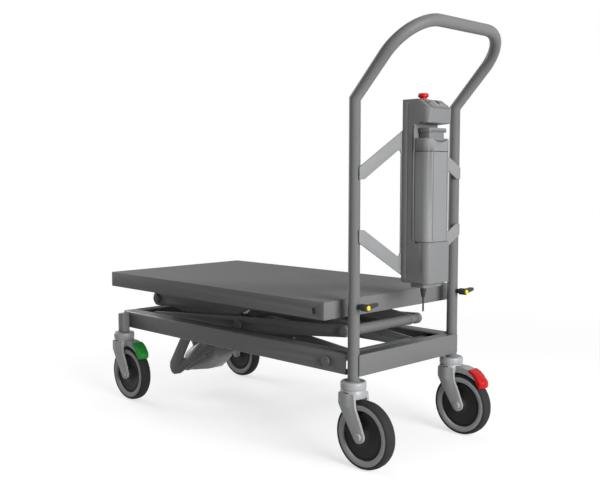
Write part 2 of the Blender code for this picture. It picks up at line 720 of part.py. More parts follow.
def build_shafts():
    g = GAP
    t = ARM_THICKNESS
    j = JOURNAL_R
    lo, uo, li, ui = LOWER_OUTER_Y, UPPER_OUTER_Y, LOWER_INNER_Y, UPPER_INNER_Y
    web = RAIL_OUTER_Y - RAIL_WALL
    cross_shaft(
        "pivot_shaft", PIVOT_X, PIVOT_Z,
        [(SHAFT_R, li - t - g), (j, li + g), (0.011, web - g), (0.006, RAIL_OUTER_Y + g)],
        RAIL_OUTER_Y + 0.0055, 0.0105,
    )
    cross_shaft(
        "left_knuckle_shaft", LEFT_X, KNUCKLE_Z,
        [(SHAFT_R, li - t - g), (j, li + g), (j, uo + g)], uo + 0.006, 0.0145,
    )
    cross_shaft(
        "right_knuckle_shaft", PIVOT_X, KNUCKLE_Z,
        [(SHAFT_R, ui - t - g), (j, ui + g), (0.012, lo - t - g), (j, lo + g)], lo + 0.006, 0.0145,
    )
    cross_shaft(
        "lower_centre_shaft", MID_X, MID_LOW_Z,
        [(0.014, li - t - g), (j, li + g), (0.012, lo - t - g), (j, lo + g)], lo + 0.006, 0.0125,
    )
    cross_shaft(
        "upper_centre_shaft", MID_X, MID_HIGH_Z,
        [(0.014, ui - t - g), (j, ui + g), (0.012, uo - t - g), (j, uo + g)], uo + 0.006, 0.0125,
    )
    web = TABLE_RAIL_Y
    cross_shaft(
        "table_pivot_shaft", PIVOT_X, TABLE_PIVOT_Z,
        [(0.012, uo - t - g), (j, uo + g), (0.012, web - TABLE_SHEET - g), (0.006, web + g)],
        web + 0.005, 0.010,
    )
    x, z = inner_local(KNUCKLE_Z)(*TIE_TUBE)
    end = ui - t - g
    tie = rod("upper_tie_tube", 0.011, (x, -end, z), (x, end, z))
    paint(tie, "upper_tie_tube", "steel")


def build_hanger():
    local = outer_local(PIVOT_Z)
    end = LOWER_OUTER_Y - ARM_THICKNESS - GAP
    pin = local(*HANGER_PIN)
    tube_a = local(*HANGER_TUBE_A)
    tube_b = local(*HANGER_TUBE_B)
    t = 0.005
    low = lathe(
        "actuator_hanger",
        [(0, -HANGER_Y + 0.001), (0.017, -HANGER_Y + 0.001), (0.017, -0.020), (0.009, -0.020)]
        + [(0.009, 0.020), (0.017, 0.020), (0.017, HANGER_Y - 0.001), (0, HANGER_Y - 0.001)],
        (pin[0], 0, pin[1]), (0, 1, 0), 16,
    )
    pieces = []
    far = HANGER_TUBE_B[0]
    for side in (-1, 1):
        outline = [(-0.0420, -0.147), (-0.0450, -0.165), (-0.0380, -0.180), (-0.0240, -0.186), (0.0050, -0.181)]
        outline += [(0.0400, -0.162), (0.1690, -0.096), (0.2000, -0.083), (far + 0.0200, -0.051)]
        outline += [(far + 0.0275, -0.030), (far + 0.0135, -0.012), (far - 0.0165, -0.014)]
        outline += [(0.1900, -0.058), (0.1460, -0.081), (0.0570, -0.129), (0.0350, -0.134)]
        outline += [(0.0260, -0.129), (0.0290, -0.122), (0.0660, -0.072), (0.1080, -0.036)]
        outline += [(0.1130, -0.020), (0.1080, -0.006), (0.0880, -0.001), (0.0640, -0.012), (0.0180, -0.071)]
        loop = [local(s, n) for s, n in outline]
        a, b = plate_between(side, HANGER_Y, t)
        pieces.append(prism("side", [loop], xz, a, b))
    pieces.append(rod("tube", 0.022, (tube_a[0], -end, tube_a[1]), (tube_a[0], end, tube_a[1]), 18))
    pieces.append(rod("tube", 0.017, (tube_b[0], -end, tube_b[1]), (tube_b[0], end, tube_b[1]), 16))
    merge(low, pieces)
    paint(low, "actuator_hanger", "arm_grey")
    set_origin(low, (MID_X, 0, MID_LOW_Z))


def build_ear_bracket():
    local = inner_local(PIVOT_Z)
    top = math.radians(57.3)

    def spot(dx, dz):
        s = -math.cos(top) * dx + math.sin(top) * dz
        n = math.sin(top) * dx + math.cos(top) * dz
        return local(EAR_S + s, EAR_N + n)

    half = UPPER_INNER_Y - ARM_THICKNESS - GAP
    outline = [(-0.036, 0.030), (-0.036, 0.026), (0.029, 0.026), (0.029, -0.038), (0.033, -0.038), (0.033, 0.030)]
    angle = prism("ear_bracket", [[spot(a, b) for a, b in outline]], xz, -half + 0.001, half - 0.001)
    pieces = []
    for side in (-1, 1):
        cheek = [(-0.014, 0.028), (-0.014, -0.008), (-0.006, -0.015), (0.012, -0.022), (0.031, -0.022), (0.031, 0.028)]
        a, b = sorted((side * half, side * (half - 0.004)))
        pieces.append(prism("cheek", [[spot(p, q) for p, q in cheek]], xz, a, b))
        x, z = spot(0, 0)
        pieces.append(rod("peg", 0.008, (x, side * (half - 0.002), z), (x, side * LOWER_INNER_Y, z)))
        lug = [(0.007, 0.009), (0.007, -0.009), (0.031, -0.030), (0.031, 0.028)]
        a, b = sorted((side * 0.016, side * 0.020))
        pieces.append(prism("lug", [[spot(p, q) for p, q in lug]], xz, a, b))
    merge(angle, pieces)
    notch = [(0.025, -0.045), (0.038, -0.045), (0.038, -0.002), (0.025, -0.002)]
    merge(angle, [prism("notch", [[spot(a, b) for a, b in notch]], xz, -0.0158, 0.0158)], "DIFFERENCE")
    paint(angle, "ear_bracket", "steel")
    set_origin(angle, (PIVOT_X, 0, PIVOT_Z))


def build_stiffener():
    local = outer_local(KNUCKLE_Z)
    wide = UPPER_OUTER_Y - ARM_THICKNESS - GAP
    mid = UPPER_INNER_Y - ARM_THICKNESS - 0.002
    half = [(wide, 0.190), (wide, 0.134), (mid, 0.131), (mid, 0.045), (mid - 0.012, 0.048), (mid - 0.030, 0.085)]
    half += [(mid - 0.050, 0.118), (mid - 0.070, 0.130)]
    loop = half + [(-a, b) for a, b in reversed(half)]

    def place(a, b, w):
        x, z = local(b, w)
        return (x, a, z)

    sheet = prism("upper_stiffener", [loop], place, 0.002, 0.006)
    fold = [(0.186, 0.0025), (0.186, -0.024), (0.189, -0.024), (0.189, 0.0025)]
    lip = prism("lip", [[local(s, n) for s, n in fold]], xz, -mid, mid)
    merge(sheet, [lip])
    paint(sheet, "upper_stiffener", "arm_grey")
    set_origin(sheet, (LEFT_X, 0, KNUCKLE_Z))


def build_rollers():
    spots = {
        "frame_roller": (PIVOT_Z, 0.0203, FRAME_ROLLER_Y[0], FRAME_ROLLER_Y[1]),
        "table_roller": (TABLE_PIVOT_Z, 0.0150, TABLE_ROLLER_Y[0], TABLE_ROLLER_Y[1]),
    }
    for name, (z, r, near, far) in spots.items():
        for side, where in ((-1, "left"), (1, "right")):
            full = name + "_" + where
            wheel = lathe(
                full,
                [(0.0083, near), (r - 0.002, near), (r, near + 0.002), (r, far - 0.002), (r - 0.002, far)]
                + [(0.0083, far)],
                (LEFT_X, 0, z), (0, side, 0), 18, True,
            )
            paint(wheel, full, "black")
            set_origin(wheel, (LEFT_X, side * (near + far) / 2, z))


def build_actuator():
    px, pz = outer_local(PIVOT_Z)(*HANGER_PIN)
    ex, ez = inner_local(PIVOT_Z)(EAR_S, EAR_N)
    foot = Vector((px, 0, pz))
    axis = (Vector((ex, 0, ez)) - foot)
    length = axis.length
    axis.normalize()
    across = Vector((-axis.z, 0, axis.x))
    end = length - 0.0470
    r = 0.036
    body = lathe(
        "actuator_body",
        [(0, 0.010), (0.018, 0.010), (0.0185, 0.0178), (0.033, 0.0220), (r, 0.027), (r, 0.122)]
        + [(0.030, 0.140), (0.024, 0.148), (0.023, 0.154), (0.023, end - 0.004), (0.020, end), (0, end)],
        foot, axis, 18,
    )
    eye = lathe(
        "eye", [(0.0093, -0.0170), (0.0200, -0.0170), (0.0200, 0.0170), (0.0093, 0.0170)],
        foot, (0, 1, 0), 16, True,
    )

    def side_place(a, b, w):
        return foot + axis * a + across * b + Vector((0, w, 0))

    def stack_place(a, b, w):
        return foot + axis * a + across * w + Vector((0, b, 0))

    gear = prism("gear", [rounded(0.078, -0.030, 0.130, 0.030, 0.010, 3)], stack_place, 0.020, 0.104)
    merge(body, [eye, gear])
    trim = rod("trim", 0.0093, (px, -0.03, pz), (px, 0.03, pz), 16)
    merge(body, [trim], "DIFFERENCE")
    bore = rod("bore", 0.0124, foot + axis * 0.118, foot + axis * (end + 0.02), 16)
    merge(body, [bore], "DIFFERENCE")
    paint(body, "actuator_body", "light_grey")
    set_origin(body, foot)
    outline = [(0.030, -0.020), (0.030, -0.030), (0.044, -0.041), (0.063, -0.049), (0.100, -0.069)]
    outline += [(0.116, -0.075), (0.152, -0.076), (0.166, -0.070), (0.170, -0.058), (0.164, -0.0245)]
    outline += [(0.1500, -0.0255), (0.1410, -0.0312), (0.1225, -0.0370), (0.1225, -0.020)]
    motor = prism("actuator_motor", [outline], side_place, -MOTOR_Y, MOTOR_Y)
    half = [(MOTOR_Y, 0.0), (MOTOR_Y, -0.054), (0.026, -0.068), (0.014, -0.0765)]
    section = half + [(-a, b) for a, b in reversed(half)]

    def along(a, b, w):
        return foot + axis * w + across * b + Vector((0, a, 0))

    merge(motor, [prism("section", [section], along, 0.020, 0.180)], "INTERSECT")
    merge(motor, [rod("saddle", r + 2 * GAP, foot + axis * 0.010, foot + axis * 0.1228, 36)], "DIFFERENCE")
    paint(motor, "actuator_motor", "light_grey")
    set_origin(motor, foot)
    piston = rod("actuator_rod", 0.012, foot + axis * 0.122, foot + axis * (length - 0.004), 16)
    tip = lathe(
        "tip", [(0, -0.0150), (0.0125, -0.0150), (0.0135, -0.0140), (0.0135, 0.0140), (0.0125, 0.0150), (0, 0.0150)],
        (ex, 0, ez), (0, 1, 0), 20,
    )
    merge(piston, [tip])
    paint(piston, "actuator_rod", "light_grey")
    set_origin(piston, foot)


build_rails()
build_crossbars()
build_front_posts()
build_handle()
build_bracket()
build_control_box()
build_battery()
build_controls()
build_clamps()
build_castors()
build_arms()
build_shafts()
build_hanger()
build_ear_bracket()
build_stiffener()
build_rollers()
build_actuator()
build_table()
build_table_rails()
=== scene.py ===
import json
import math

import bpy
from mathutils import Matrix, Vector


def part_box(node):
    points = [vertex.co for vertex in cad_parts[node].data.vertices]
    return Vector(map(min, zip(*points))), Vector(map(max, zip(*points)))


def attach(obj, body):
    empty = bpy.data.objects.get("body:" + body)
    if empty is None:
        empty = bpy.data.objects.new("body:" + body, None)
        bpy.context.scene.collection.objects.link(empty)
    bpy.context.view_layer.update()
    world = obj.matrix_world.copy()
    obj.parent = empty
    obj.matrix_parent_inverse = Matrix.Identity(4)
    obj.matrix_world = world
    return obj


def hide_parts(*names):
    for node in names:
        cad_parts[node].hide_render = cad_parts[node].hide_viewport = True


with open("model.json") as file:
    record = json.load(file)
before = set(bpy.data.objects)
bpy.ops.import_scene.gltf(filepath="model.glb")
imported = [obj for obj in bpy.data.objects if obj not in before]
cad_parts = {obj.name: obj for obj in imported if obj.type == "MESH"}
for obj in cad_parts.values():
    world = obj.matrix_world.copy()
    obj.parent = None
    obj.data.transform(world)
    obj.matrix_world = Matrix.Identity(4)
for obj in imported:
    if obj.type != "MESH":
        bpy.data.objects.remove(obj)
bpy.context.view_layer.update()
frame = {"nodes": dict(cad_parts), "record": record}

nodes = frame["nodes"]
print("frame loaded:", len(nodes), "nodes")

cameraSettings = {
    "place": (1.690, -1.6625, 0.676),
    "lookAt": (0.020, 0.0, 0.470),
    "lens": 51.5,
}


def deselectAll():
    if bpy.context.object and bpy.context.object.mode != "OBJECT":
        bpy.ops.object.mode_set(mode="OBJECT")
    bpy.ops.object.select_all(action="DESELECT")


def pick(obj):
    deselectAll()
    obj.select_set(True)
    bpy.context.view_layer.objects.active = obj
    return obj


def setUpCamera(settings):
    bpy.ops.object.camera_add(location=settings["place"])
    camera = bpy.context.object
    camera.name = "camera"
    camera.data.sensor_width = 36.0
    camera.data.lens = settings["lens"]
    camera.data.clip_end = 200.0
    aim = Vector(settings["lookAt"]) - Vector(settings["place"])
    camera.rotation_euler = aim.to_track_quat("-Z", "Y").to_euler()
    bpy.context.scene.camera = camera


deselectAll()
setUpCamera(cameraSettings)


# node helpers, used by the stage and by every finish
def mathNode(tree, operation, first, second=None, clamp=False):
    node = tree.nodes.new("ShaderNodeMath")
    node.operation = operation
    node.use_clamp = clamp
    for socket, value in zip(node.inputs, (first, second)):
        if isinstance(value, (int, float)):
            socket.default_value = value
        elif value is not None:
            tree.links.new(value, socket)
    return node.outputs[0]


def colorMix(tree, amount, first, second):
    node = tree.nodes.new("ShaderNodeMix")
    node.data_type = "RGBA"
    for index, value in ((0, amount), (6, first), (7, second)):
        tree.links.new(value, node.inputs[index])
    return node.outputs[2]


def noiseNode(tree, place, scale, detail):
    node = tree.nodes.new("ShaderNodeTexNoise")
    tree.links.new(place, node.inputs["Vector"])
    if isinstance(scale, (int, float)):
        node.inputs["Scale"].default_value = scale
    else:
        tree.links.new(scale, node.inputs["Scale"])
    node.inputs["Detail"].default_value = detail
    return node.outputs["Fac"]


stageSettings = {
    "floorTone": 0.50,
    "floorLift": 0.64,
    "floorSize": 60.0,
    "floorHeight": -0.0005,
    "fadeStart": 0.8,
    "fadeEnd": 2.3,
    "lamps": {  # place, aim, size, power
        "keyLamp": ((3.6, -0.5, 1.25), (0, 0, 0.4), 2.2, 176.0),
        "topLamp": ((-0.4, 0.8, 3.8), (0, 0, 0.2), 2.6, 9.0),
        "farLamp": ((-3.5, -0.25, 1.3), (0, 0, 0.5), 2.2, 80.0),
    },
    "worldStrength": 0.22,
}


def addLamp(name, place, aimAt, size, power):
    bpy.ops.object.light_add(type="AREA", location=place)
    lamp = bpy.context.object
    lamp.name = name
    lamp.data.shape = "DISK"
    lamp.data.size = size
    lamp.data.energy = power
    lamp.rotation_euler = (Vector(aimAt) - Vector(place)).to_track_quat("-Z", "Y").to_euler()


def seenDirectly(tree):
    # 1 for rays that see the backdrop itself: camera, gloss and glass
    path = tree.nodes.new("ShaderNodeLightPath")
    seen = mathNode(tree, "MAXIMUM", path.outputs["Is Camera Ray"], path.outputs["Is Glossy Ray"])
    return mathNode(tree, "MAXIMUM", seen, path.outputs["Is Transmission Ray"])


def buildFloorPaint(settings):
    # a soft shadow under the trolley that runs out into plain white
    paint = bpy.data.materials.new("floorPaint")
    paint.use_nodes = True
    tree = paint.node_tree
    tree.nodes.remove(tree.nodes["Principled BSDF"])
    matt = tree.nodes.new("ShaderNodeBsdfDiffuse")
    tone = settings["floorTone"]
    matt.inputs["Color"].default_value = (tone, tone, tone, 1)
    lift = tree.nodes.new("ShaderNodeEmission")
    lift.inputs["Color"].default_value = (1, 1, 1, 1)
    lift.inputs["Strength"].default_value = settings["floorLift"]
    near = tree.nodes.new("ShaderNodeAddShader")
    white = tree.nodes.new("ShaderNodeEmission")
    white.inputs["Color"].default_value = (1, 1, 1, 1)
    white.inputs["Strength"].default_value = 1.0
    place = tree.nodes.new("ShaderNodeTexCoord").outputs["Object"]
    length = tree.nodes.new("ShaderNodeVectorMath")
    length.operation = "LENGTH"
    tree.links.new(place, length.inputs[0])
    fade = tree.nodes.new("ShaderNodeMapRange")
    fade.interpolation_type = "SMOOTHSTEP"
    tree.links.new(length.outputs["Value"], fade.inputs["Value"])
    fade.inputs["From Min"].default_value = settings["fadeStart"]
    fade.inputs["From Max"].default_value = settings["fadeEnd"]
    shown = tree.nodes.new("ShaderNodeMixShader")
    tree.links.new(fade.outputs["Result"], shown.inputs["Fac"])
    tree.links.new(matt.outputs[0], near.inputs[0])
    tree.links.new(lift.outputs[0], near.inputs[1])
    tree.links.new(near.outputs[0], shown.inputs[1])
    tree.links.new(white.outputs[0], shown.inputs[2])
    final = tree.nodes.new("ShaderNodeMixShader")
    tree.links.new(seenDirectly(tree), final.inputs["Fac"])
    tree.links.new(matt.outputs[0], final.inputs[1])
    tree.links.new(shown.outputs[0], final.inputs[2])
    tree.links.new(final.outputs[0], tree.nodes["Material Output"].inputs["Surface"])
    return paint


def setUpStage(settings):
    deselectAll()
    where = (0, 0, settings["floorHeight"])
    bpy.ops.mesh.primitive_plane_add(size=settings["floorSize"], location=where)
    floor = bpy.context.object
    floor.name = "floor"
    floor.data.materials.append(buildFloorPaint(settings))
    for name, values in settings["lamps"].items():
        addLamp(name, *values)
    world = bpy.data.worlds.new("studio")
    bpy.context.scene.world = world
    world.use_nodes = True
    tree = world.node_tree
    wash = tree.nodes["Background"]
    wash.inputs["Color"].default_value = (1, 1, 1, 1)
    wash.inputs["Strength"].default_value = settings["worldStrength"]
    backdrop = tree.nodes.new("ShaderNodeBackground")
    backdrop.inputs["Color"].default_value = (1, 1, 1, 1)
    backdrop.inputs["Strength"].default_value = 1.0
    mix = tree.nodes.new("ShaderNodeMixShader")
    tree.links.new(seenDirectly(tree), mix.inputs["Fac"])
    tree.links.new(wash.outputs["Background"], mix.inputs[1])
    tree.links.new(backdrop.outputs["Background"], mix.inputs[2])
    tree.links.new(mix.outputs["Shader"], tree.nodes["World Output"].inputs["Surface"])
    bpy.context.scene.view_settings.view_transform = "Standard"


setUpStage(stageSettings)
print("camera and stage ready")


def newGroup(name, inputs, outputs):
    group = bpy.data.node_groups.new(name, "ShaderNodeTree")
    for label, kind, value in inputs:
        socket = group.interface.new_socket(name=label, in_out="INPUT", socket_type=kind)
        socket.default_value = value
    for label, kind in outputs:
        group.interface.new_socket(name=label, in_out="OUTPUT", socket_type=kind)
    return group, group.nodes.new("NodeGroupInput"), group.nodes.new("NodeGroupOutput")


surfaceSettings = {
    "driftScale": 5.0,  # in cycles per metre, as the blotches are
    "blotchScale": 38.0,
    "blotchShare": 0.5,
    "grainShare": 0.10,
    "edgeRadius": 0.0014,
    "edgeGain": 7.0,
    "patchStart": 0.36,
    "patchGain": 3.0,
    "bumpDepth": 0.0004,
}


def buildSurfaceGroup(settings):
    # fine grain, slow drift of the colour and a lighter edge where the paint is rubbed
    group, start, end = newGroup(
        "coatedSurface",
        [
            ("Color", "NodeSocketColor", (0.2, 0.2, 0.2, 1)),
            ("Edge Color", "NodeSocketColor", (0.4, 0.4, 0.4, 1)),
            ("Edge Amount", "NodeSocketFloat", 0.5),
            ("Drift", "NodeSocketFloat", 0.10),
            ("Grain Scale", "NodeSocketFloat", 900.0),
            ("Roughness", "NodeSocketFloat", 0.45),
            ("Roughness Spread", "NodeSocketFloat", 0.14),
        ],
        [
            ("Color", "NodeSocketColor"),
            ("Roughness", "NodeSocketFloat"),
            ("Height", "NodeSocketFloat"),
        ],
    )
    place = group.nodes.new("ShaderNodeTexCoord").outputs["Object"]
    grain = noiseNode(group, place, start.outputs["Grain Scale"], 4.0)
    slow = noiseNode(group, place, settings["driftScale"], 4.0)
    blotch = noiseNode(group, place, settings["blotchScale"], 5.0)
    spots = mathNode(group, "SUBTRACT", blotch, 0.5)
    shade = mathNode(group, "MULTIPLY", spots, settings["blotchShare"])
    shade = mathNode(group, "ADD", mathNode(group, "SUBTRACT", slow, 0.5), shade)
    shade = mathNode(group, "MULTIPLY", shade, start.outputs["Drift"])
    shade = mathNode(group, "ADD", shade, 1.0)
    fine = mathNode(group, "SUBTRACT", grain, 0.5)
    fine = mathNode(group, "MULTIPLY", fine, settings["grainShare"])
    total = mathNode(group, "MULTIPLY", shade, mathNode(group, "ADD", fine, 1.0))
    scaled = group.nodes.new("ShaderNodeVectorMath")
    scaled.operation = "SCALE"
    group.links.new(start.outputs["Color"], scaled.inputs[0])
    group.links.new(total, scaled.inputs["Scale"])
    bevel = group.nodes.new("ShaderNodeBevel")
    bevel.samples = 4
    bevel.inputs["Radius"].default_value = settings["edgeRadius"]
    geometry = group.nodes.new("ShaderNodeNewGeometry")
    dot = group.nodes.new("ShaderNodeVectorMath")
    dot.operation = "DOT_PRODUCT"
    group.links.new(bevel.outputs["Normal"], dot.inputs[0])
    group.links.new(geometry.outputs["Normal"], dot.inputs[1])
    edge = mathNode(group, "SUBTRACT", 1.0, dot.outputs["Value"])
    edge = mathNode(group, "MULTIPLY", edge, settings["edgeGain"], True)
    patchy = mathNode(group, "SUBTRACT", blotch, settings["patchStart"])
    patchy = mathNode(group, "MULTIPLY", patchy, settings["patchGain"], True)
    worn = mathNode(group, "MULTIPLY", edge, patchy)
    worn = mathNode(group, "MULTIPLY", worn, start.outputs["Edge Amount"], True)
    color = colorMix(group, worn, scaled.outputs["Vector"], start.outputs["Edge Color"])
    group.links.new(color, end.inputs["Color"])
    rough = mathNode(group, "MULTIPLY", spots, start.outputs["Roughness Spread"])
    rough = mathNode(group, "ADD", rough, start.outputs["Roughness"], True)
    group.links.new(rough, end.inputs["Roughness"])
    group.links.new(grain, end.inputs["Height"])
    return group


surfaceGroup = buildSurfaceGroup(surfaceSettings)

# one grey tone, or three values; edge is the rubbed edge, grain is in cycles per metre
finishSettings = {
    "frameGrey": {
        "color": 0.138, "edge": 0.30, "amount": 0.30, "rough": 0.42, "bump": 0.10, "grain": 1100.0,
    },
    "handleGrey": {
        "color": 0.138, "edge": 0.20, "amount": 0.0, "rough": 0.44, "bump": 0.02, "grain": 500.0,
    },
    "tableGrey": {
        "color": 0.142, "edge": 0.30, "amount": 0.30,
        "rough": 0.58, "bump": 0.14, "grain": 1000.0, "gloss": 0.06,
    },
    "armGrey": {
        "color": 0.140, "edge": 0.30, "amount": 0.35, "rough": 0.44, "bump": 0.10, "grain": 1100.0,
    },
    "lightGrey": {
        "color": 0.215, "edge": 0.46, "amount": 0.25, "rough": 0.38, "bump": 0.10, "grain": 1200.0,
    },
    "castGrey": {
        "color": 0.320, "edge": 0.55, "amount": 0.35,
        "rough": 0.34, "bump": 0.24, "grain": 700.0, "metal": 0.08,
    },
    "boltSteel": {
        "color": 0.400, "edge": 0.58, "amount": 0.40,
        "rough": 0.28, "bump": 0.05, "grain": 1500.0, "metal": 0.9,
    },
    "tubeGrey": {
        "color": 0.300, "edge": 0.50, "amount": 0.25,
        "rough": 0.34, "bump": 0.06, "grain": 1300.0, "metal": 0.2,
    },
    "boxGrey": {
        "color": 0.168, "edge": 0.28, "amount": 0.20, "rough": 0.48, "bump": 0.18, "grain": 1500.0,
    },
    "batteryGrey": {
        "color": 0.195, "edge": 0.32, "amount": 0.20, "rough": 0.45, "bump": 0.18, "grain": 1500.0,
    },
    "panelGrey": {
        "color": 0.160, "edge": 0.32, "amount": 0.20, "rough": 0.30, "bump": 0.05, "grain": 1600.0,
    },
    # near black: painted shade on the walls of the engraved grooves and cut slots, and the own
    # colour of the dark keypad marks and grip dots
    "grooveShadeAndDarkMarks": {
        "color": 0.030, "edge": 0.05, "amount": 0.10, "rough": 0.70, "bump": 0.10, "grain": 1200.0,
    },
    "darkPlastic": {
        "color": 0.035, "edge": 0.12, "amount": 0.25, "rough": 0.50, "bump": 0.14, "grain": 1400.0,
    },
    "tyreRubber": {
        "color": 0.024, "edge": 0.07, "amount": 0.30, "rough": 0.72, "bump": 0.25, "grain": 900.0,
    },
    "rimGrey": {
        "color": 0.300, "edge": 0.42, "amount": 0.30, "rough": 0.45, "bump": 0.08, "grain": 1200.0,
    },
    "discDark": {
        "color": 0.018, "edge": 0.10, "amount": 0.20, "rough": 0.42, "bump": 0.10, "grain": 1200.0,
    },
    "signalRed": {
        "color": (0.46, 0.010, 0.010), "edge": (0.70, 0.12, 0.10), "amount": 0.30,
        "rough": 0.35, "bump": 0.06, "grain": 1400.0,
    },
    "signalGreen": {
        "color": (0.022, 0.250, 0.035), "edge": (0.12, 0.42, 0.14), "amount": 0.30,
        "rough": 0.42, "bump": 0.10, "grain": 1400.0,
    },
    "signalYellow": {
        "color": (0.75, 0.55, 0.02), "edge": (0.85, 0.70, 0.20), "amount": 0.20,
        "rough": 0.38, "bump": 0.05, "grain": 1400.0,
    },
}


def asColor(value):
    # the photographed greys are very slightly cool
    return (*value, 1) if isinstance(value, tuple) else (value, value * 1.01, value * 1.025, 1)


def buildFinish(name, settings):
    material = bpy.data.materials.new(name)
    material.use_nodes = True
    tree = material.node_tree
    shader = tree.nodes["Principled BSDF"]
    shader.inputs["Metallic"].default_value = settings.get("metal", 0.0)
    shader.inputs["Specular IOR Level"].default_value = settings.get("gloss", 0.14)
    node = tree.nodes.new("ShaderNodeGroup")
    node.node_tree = surfaceGroup
    node.inputs["Color"].default_value = asColor(settings["color"])
    node.inputs["Edge Color"].default_value = asColor(settings["edge"])
    node.inputs["Edge Amount"].default_value = settings["amount"]
    node.inputs["Grain Scale"].default_value = settings["grain"]
    node.inputs["Roughness"].default_value = settings["rough"]
    bump = tree.nodes.new("ShaderNodeBump")
    bump.inputs["Strength"].default_value = settings["bump"]
    bump.inputs["Distance"].default_value = surfaceSettings["bumpDepth"]
    tree.links.new(node.outputs["Color"], shader.inputs["Base Color"])
    tree.links.new(node.outputs["Roughness"], shader.inputs["Roughness"])
    tree.links.new(node.outputs["Height"], bump.inputs["Height"])
    tree.links.new(bump.outputs["Normal"], shader.inputs["Normal"])
    return material


finishes = {name: buildFinish(name, settings) for name, settings in finishSettings.items()}
print("finishes ready:", len(finishes))


def bodyOf(node):
    for body, members in frame["record"]["behaviour"]["bodies"].items():
        if node in members:
            return body
    return None


def finishPiece(obj, name, finish, node, smooth=35):
    # gives a piece its name and finish, and lets it ride with the node it belongs to
    pick(obj)
    obj.name = name
    obj.data.name = name
    bpy.ops.object.transform_apply(location=True, rotation=True, scale=True)
    bpy.ops.object.shade_smooth_by_angle(angle=math.radians(smooth))
    obj.data.materials.clear()
    obj.data.materials.append(finishes[finish])
    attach(obj, bodyOf(node))
    return obj


def applyBevel(obj, width, segments=2, angle=40):
    pick(obj)
    modifier = obj.modifiers.new("rounding", "BEVEL")
    modifier.width = width
    modifier.segments = segments
    modifier.limit_method = "ANGLE"
    modifier.angle_limit = math.radians(angle)
    bpy.ops.object.modifier_apply(modifier=modifier.name)


def copyOfNode(node):
    # a CAD node is loose triangles, so its copy is merged into clean faces first
    obj = bpy.data.objects.new(node + "Skin", nodes[node].data.copy())
    bpy.context.scene.collection.objects.link(obj)
    pick(obj)
    bpy.ops.object.mode_set(mode="EDIT")
    bpy.ops.mesh.select_all(action="SELECT")
    bpy.ops.mesh.remove_doubles(threshold=0.00003)
    bpy.ops.mesh.dissolve_limited(angle_limit=math.radians(0.6))
    bpy.ops.object.mode_set(mode="OBJECT")
    return obj


def softened(node, finish, width, segments=2, angle=40, smooth=30):
    # the node's own shape with its edges rounded off
    obj = copyOfNode(node)
    applyBevel(obj, width, segments, angle)
    finishPiece(obj, node + "Skin", finish, node, smooth=smooth)
    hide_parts(node)
    return obj


def smoothAgain(obj):
    pick(obj)
    bpy.ops.object.shade_smooth_by_angle(angle=math.radians(30))


def closeMesh():
    # from edit mode: merges doubles and turns every face outwards
    bpy.ops.mesh.select_all(action="SELECT")
    bpy.ops.mesh.remove_doubles(threshold=0.00001)
    bpy.ops.mesh.normals_make_consistent(inside=False)
    bpy.ops.object.mode_set(mode="OBJECT")


axisTurns = {"Z": (0, 0, 0), "Y": (-90, 0, 0), "-Y": (90, 0, 0)}


def turned(name, profile, place, axis, finish, node, sides=64):
    # profile is (radius, height) points; one that ends where it starts makes a ring
    ring = profile[0] == profile[-1]
    deselectAll()
    bpy.ops.mesh.primitive_circle_add(
        vertices=sides, radius=profile[0][0], location=(0, 0, profile[0][1]),
        fill_type="NOTHING" if ring else "NGON",
    )
    obj = bpy.context.object
    bpy.ops.object.transform_apply(location=True, rotation=True, scale=True)
    bpy.ops.object.mode_set(mode="EDIT")
    bpy.ops.mesh.select_all(action="SELECT")
    for (r0, z0), (r1, z1) in zip(profile, profile[1:]):
        bpy.ops.mesh.extrude_region_move(TRANSFORM_OT_translate={"value": (0, 0, z1 - z0)})
        bpy.ops.transform.resize(value=(r1 / r0, r1 / r0, 1), center_override=(0, 0, z1))
    closeMesh()
    obj.rotation_euler = [math.radians(turn) for turn in axisTurns[axis]]
    obj.location = place
    return finishPiece(obj, name, finish, node)


def copyTo(obj, name, shift, node):
    twin = bpy.data.objects.new(name, obj.data.copy())
    bpy.context.scene.collection.objects.link(twin)
    twin.data.transform(Matrix.Translation(Vector(shift)))
    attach(twin, bodyOf(node))
    return twin


def tubeAlong(points, radius, resolution=3):
    curve = bpy.data.curves.new("tube", "CURVE")
    curve.dimensions = "3D"
    spline = curve.splines.new("POLY")
    spline.points.add(len(points) - 1)
    for target, point in zip(spline.points, points):
        target.co = (*point, 1)
    curve.bevel_depth = radius
    curve.bevel_resolution = resolution
    curve.use_fill_caps = True
    obj = bpy.data.objects.new("tube", curve)
    bpy.context.scene.collection.objects.link(obj)
    pick(obj)
    bpy.ops.object.convert(target="MESH")
    obj = bpy.context.object
    bpy.ops.object.mode_set(mode="EDIT")
    closeMesh()
    # near black, for the walls of the grooves it cuts: painted shade
    obj.data.materials.clear()
    obj.data.materials.append(finishes["grooveShadeAndDarkMarks"])
    return obj


def cutAway(obj, cutter):
    # takes the cutter's shape out of obj; the cut faces keep the cutter's finish
    pick(obj)
    modifier = obj.modifiers.new("cut", "BOOLEAN")
    modifier.operation = "DIFFERENCE"
    modifier.solver = "EXACT"
    modifier.material_mode = "TRANSFER"
    modifier.object = cutter
    bpy.ops.object.modifier_apply(modifier=modifier.name)
    bpy.data.objects.remove(cutter)


def engrave(obj, points, radius):
    # the groove's walls take the tube's near-black finish: painted shade in the groove
    cutAway(obj, tubeAlong(points, radius))


